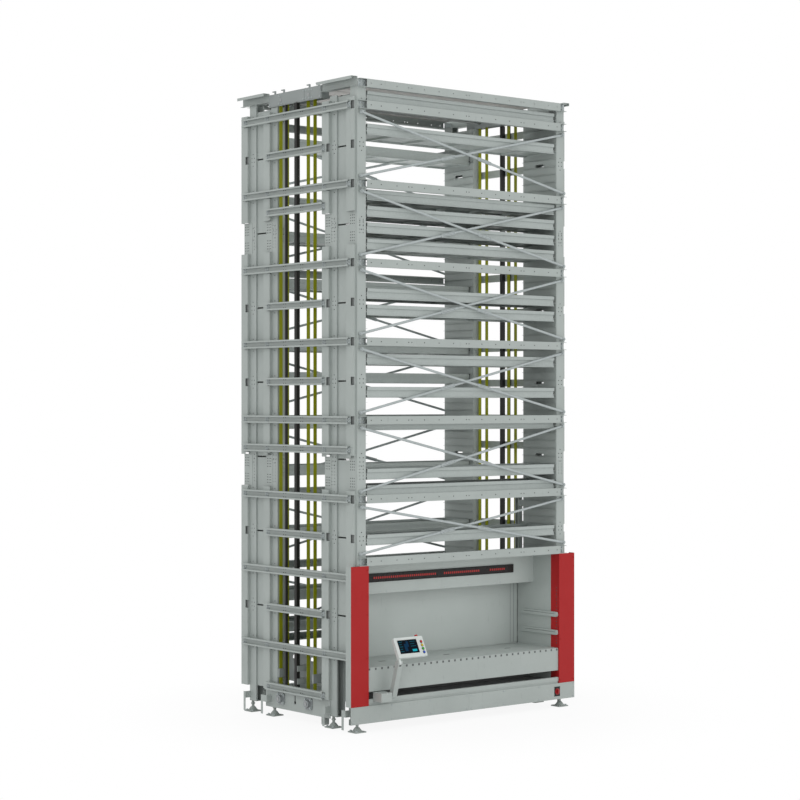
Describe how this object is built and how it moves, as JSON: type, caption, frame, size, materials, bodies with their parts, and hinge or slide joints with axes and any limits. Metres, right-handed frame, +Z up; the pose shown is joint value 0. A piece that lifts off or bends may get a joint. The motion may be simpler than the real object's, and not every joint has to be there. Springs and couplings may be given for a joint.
{
  "type": "vertical lift module",
  "caption": "Tall storage tower with trays in a front and a rear column, a belt lift between them, an access bay with a shutter, and a tilting console, its frame open to view.",
  "frame": {"origin": "on the floor, in the middle of the box around the whole machine", "axes": "+X to the machine's right as a person at the bay sees it, +Y to the rear, +Z up"},
  "size_m": [3.7, 2.6995, 7.915],
  "materials": {
    "frame_paint": "satin powder coat",
    "dark_paint": "satin paint",
    "red_paint": "satin powder coat",
    "tray_steel": "galvanised and coated",
    "black_steel": "satin",
    "bright_steel": "ground",
    "bearing_steel": "machined and oiled",
    "belt": "matt",
    "display": "gloss",
    "screen": "gloss",
    "shell": "fine texture",
    "red_plastic": "gloss",
    "black_plastic": "satin",
    "yellow_plastic": "gloss",
    "green_plastic": "gloss",
    "blue_plastic": "gloss"
  },
  "bodies": {
    "frame": {"uprights": "frame_paint", "stiffeners": "frame_paint", "cross_beams": "frame_paint", "side_beams": "frame_paint", "side_plates": "frame_paint", "braces": "bright_steel", "roof_rails": "frame_paint", "drive_boxes": "dark_paint", "base_frame": "frame_paint", "bearing_units": "bearing_steel", "feet": "dark_paint", "base_panel": "frame_paint", "red_covers": "red_paint", "bay_frame": "frame_paint", "fascia": "frame_paint", "led_display": "display", "shutter_posts": "frame_paint", "guide_posts": "black_steel", "belts": "belt", "console_base": "frame_paint"},
    "shutter": {"shutter": "frame_paint"},
    "carriage": {"carriage": "dark_paint"},
    "extractor": {"extractor": "bright_steel"},
    "low_shaft_front": {"low_shaft_front": "bright_steel"},
    "low_shaft_rear": {"low_shaft_rear": "bright_steel"},
    "high_shaft_front": {"high_shaft_front": "bright_steel"},
    "high_shaft_rear": {"high_shaft_rear": "bright_steel"},
    "main_switch": {"main_switch": "black_plastic"},
    "console_arm": {"console_arm": "frame_paint"},
    "console_head": {"console_head": "shell", "console_screen": "screen"},
    "button_red": {"button_red": "red_plastic"},
    "button_yellow": {"button_yellow": "yellow_plastic"},
    "button_green": {"button_green": "green_plastic"},
    "button_blue": {"button_blue": "blue_plastic"},
    "stop_button": {"stop_button": "red_plastic"},
    "tray_front_1": {"tray_front_1": "tray_steel"},
    "tray_front_2": {"tray_front_2": "tray_steel"},
    "tray_front_3": {"tray_front_3": "tray_steel"},
    "tray_front_4": {"tray_front_4": "tray_steel"},
    "tray_front_5": {"tray_front_5": "tray_steel"},
    "tray_front_6": {"tray_front_6": "tray_steel"},
    "tray_front_7": {"tray_front_7": "tray_steel"},
    "tray_front_8": {"tray_front_8": "tray_steel"},
    "tray_front_9": {"tray_front_9": "tray_steel"},
    "tray_front_10": {"tray_front_10": "tray_steel"},
    "tray_front_11": {"tray_front_11": "tray_steel"},
    "tray_front_12": {"tray_front_12": "tray_steel"},
    "tray_front_13": {"tray_front_13": "tray_steel"},
    "tray_front_14": {"tray_front_14": "tray_steel"},
    "tray_rear_1": {"tray_rear_1": "tray_steel"},
    "tray_rear_2": {"tray_rear_2": "tray_steel"},
    "tray_rear_3": {"tray_rear_3": "tray_steel"},
    "tray_rear_4": {"tray_rear_4": "tray_steel"},
    "tray_rear_5": {"tray_rear_5": "tray_steel"},
    "tray_rear_6": {"tray_rear_6": "tray_steel"},
    "tray_rear_7": {"tray_rear_7": "tray_steel"},
    "tray_rear_8": {"tray_rear_8": "tray_steel"},
    "tray_rear_9": {"tray_rear_9": "tray_steel"},
    "tray_rear_10": {"tray_rear_10": "tray_steel"}
  },
  "joints": [
    {"name": "lift", "type": "slide", "parent": "frame", "child": "carriage", "axis": [0, 0, 1], "range_m": [0, 6.906]},
    {"name": "extract", "type": "slide", "parent": "carriage", "child": "extractor", "axis": [0, 1, 0], "range_m": [-0.5, 0.4]},
    {"name": "shutter_lift", "type": "slide", "parent": "frame", "child": "shutter", "axis": [0, 0, 1], "range_m": [0, 0.95]},
    {"name": "low_shaft_front_turn", "type": "hinge", "parent": "frame", "child": "low_shaft_front", "pos_m": [0, -0.08904, 0.242], "axis": [1, 0, 0], "range_deg": [-5670, 0]},
    {"name": "low_shaft_rear_turn", "type": "hinge", "parent": "frame", "child": "low_shaft_rear", "pos_m": [0, 0.49296, 0.242], "axis": [1, 0, 0], "range_deg": [0, 5670]},
    {"name": "high_shaft_front_turn", "type": "hinge", "parent": "frame", "child": "high_shaft_front", "pos_m": [0, -0.08904, 7.783], "axis": [1, 0, 0], "range_deg": [-5670, 0]},
    {"name": "high_shaft_rear_turn", "type": "hinge", "parent": "frame", "child": "high_shaft_rear", "pos_m": [0, 0.49296, 7.783], "axis": [1, 0, 0], "range_deg": [0, 5670]},
    {"name": "front_slide_1", "type": "slide", "parent": "frame", "child": "tray_front_1", "axis": [0, 1, 0], "range_m": [0, 0.97]},
    {"name": "front_slide_2", "type": "slide", "parent": "frame", "child": "tray_front_2", "axis": [0, 1, 0], "range_m": [0, 0.97]},
    {"name": "front_slide_3", "type": "slide", "parent": "frame", "child": "tray_front_3", "axis": [0, 1, 0], "range_m": [0, 0.97]},
    {"name": "front_slide_4", "type": "slide", "parent": "frame", "child": "tray_front_4", "axis": [0, 1, 0], "range_m": [0, 0.97]},
    {"name": "front_slide_5", "type": "slide", "parent": "frame", "child": "tray_front_5", "axis": [0, 1, 0], "range_m": [0, 0.97]},
    {"name": "front_slide_6", "type": "slide", "parent": "frame", "child": "tray_front_6", "axis": [0, 1, 0], "range_m": [0, 0.97]},
    {"name": "front_slide_7", "type": "slide", "parent": "frame", "child": "tray_front_7", "axis": [0, 1, 0], "range_m": [0, 0.97]},
    {"name": "front_slide_8", "type": "slide", "parent": "frame", "child": "tray_front_8", "axis": [0, 1, 0], "range_m": [0, 0.97]},
    {"name": "front_slide_9", "type": "slide", "parent": "frame", "child": "tray_front_9", "axis": [0, 1, 0], "range_m": [0, 0.97]},
    {"name": "front_slide_10", "type": "slide", "parent": "frame", "child": "tray_front_10", "axis": [0, 1, 0], "range_m": [0, 0.97]},
    {"name": "front_slide_11", "type": "slide", "parent": "frame", "child": "tray_front_11", "axis": [0, 1, 0], "range_m": [0, 0.97]},
    {"name": "front_slide_12", "type": "slide", "parent": "frame", "child": "tray_front_12", "axis": [0, 1, 0], "range_m": [0, 0.97]},
    {"name": "front_slide_13", "type": "slide", "parent": "frame", "child": "tray_front_13", "axis": [0, 1, 0], "range_m": [0, 0.97]},
    {"name": "front_slide_14", "type": "slide", "parent": "frame", "child": "tray_front_14", "axis": [0, 1, 0], "range_m": [0, 0.97]},
    {"name": "rear_slide_1", "type": "slide", "parent": "frame", "child": "tray_rear_1", "axis": [0, 1, 0], "range_m": [-0.71, 0]},
    {"name": "rear_slide_2", "type": "slide", "parent": "frame", "child": "tray_rear_2", "axis": [0, 1, 0], "range_m": [-0.71, 0]},
    {"name": "rear_slide_3", "type": "slide", "parent": "frame", "child": "tray_rear_3", "axis": [0, 1, 0], "range_m": [-0.71, 0]},
    {"name": "rear_slide_4", "type": "slide", "parent": "frame", "child": "tray_rear_4", "axis": [0, 1, 0], "range_m": [-0.71, 0]},
    {"name": "rear_slide_5", "type": "slide", "parent": "frame", "child": "tray_rear_5", "axis": [0, 1, 0], "range_m": [-0.71, 0]},
    {"name": "rear_slide_6", "type": "slide", "parent": "frame", "child": "tray_rear_6", "axis": [0, 1, 0], "range_m": [-0.71, 0]},
    {"name": "rear_slide_7", "type": "slide", "parent": "frame", "child": "tray_rear_7", "axis": [0, 1, 0], "range_m": [-0.71, 0]},
    {"name": "rear_slide_8", "type": "slide", "parent": "frame", "child": "tray_rear_8", "axis": [0, 1, 0], "range_m": [-0.71, 0]},
    {"name": "rear_slide_9", "type": "slide", "parent": "frame", "child": "tray_rear_9", "axis": [0, 1, 0], "range_m": [-0.71, 0]},
    {"name": "rear_slide_10", "type": "slide", "parent": "frame", "child": "tray_rear_10", "axis": [0, 1, 0], "range_m": [-0.71, 0]},
    {"name": "switch_turn", "type": "hinge", "parent": "frame", "child": "main_switch", "pos_m": [1.538, -1.11154, 0.214], "axis": [0, -1, 0], "range_deg": [-90, 0]},
    {"name": "arm_swing", "type": "hinge", "parent": "frame", "child": "console_arm", "pos_m": [-1.28, -1.20204, 0.422], "axis": [1, 0, 0], "range_deg": [-4, 30]},
    {"name": "head_tilt", "type": "hinge", "parent": "console_arm", "child": "console_head", "pos_m": [-1.28, -1.32057, 0.83534], "axis": [1, 0, 0], "range_deg": [-20, 20]},
    {"name": "button_red_press", "type": "slide", "parent": "console_head", "child": "button_red", "axis": [0, 0.891, -0.454], "range_m": [0, 0.004], "stiffness_N_per_m": 800},
    {"name": "button_yellow_press", "type": "slide", "parent": "console_head", "child": "button_yellow", "axis": [0, 0.891, -0.454], "range_m": [0, 0.004], "stiffness_N_per_m": 800},
    {"name": "button_green_press", "type": "slide", "parent": "console_head", "child": "button_green", "axis": [0, 0.891, -0.454], "range_m": [0, 0.004], "stiffness_N_per_m": 800},
    {"name": "button_blue_press", "type": "slide", "parent": "console_head", "child": "button_blue", "axis": [0, 0.891, -0.454], "range_m": [0, 0.004], "stiffness_N_per_m": 800},
    {"name": "stop_press", "type": "slide", "parent": "console_head", "child": "stop_button", "axis": [0, -0.454, -0.891], "range_m": [0, 0.004], "stiffness_N_per_m": 1500}
  ],
  "couplings": [
    {"joint": "low_shaft_front_turn", "follows": "lift", "rad_per_m": -14.286},
    {"joint": "low_shaft_rear_turn", "follows": "lift", "rad_per_m": 14.286},
    {"joint": "high_shaft_front_turn", "follows": "lift", "rad_per_m": -14.286},
    {"joint": "high_shaft_rear_turn", "follows": "lift", "rad_per_m": 14.286}
  ]
}
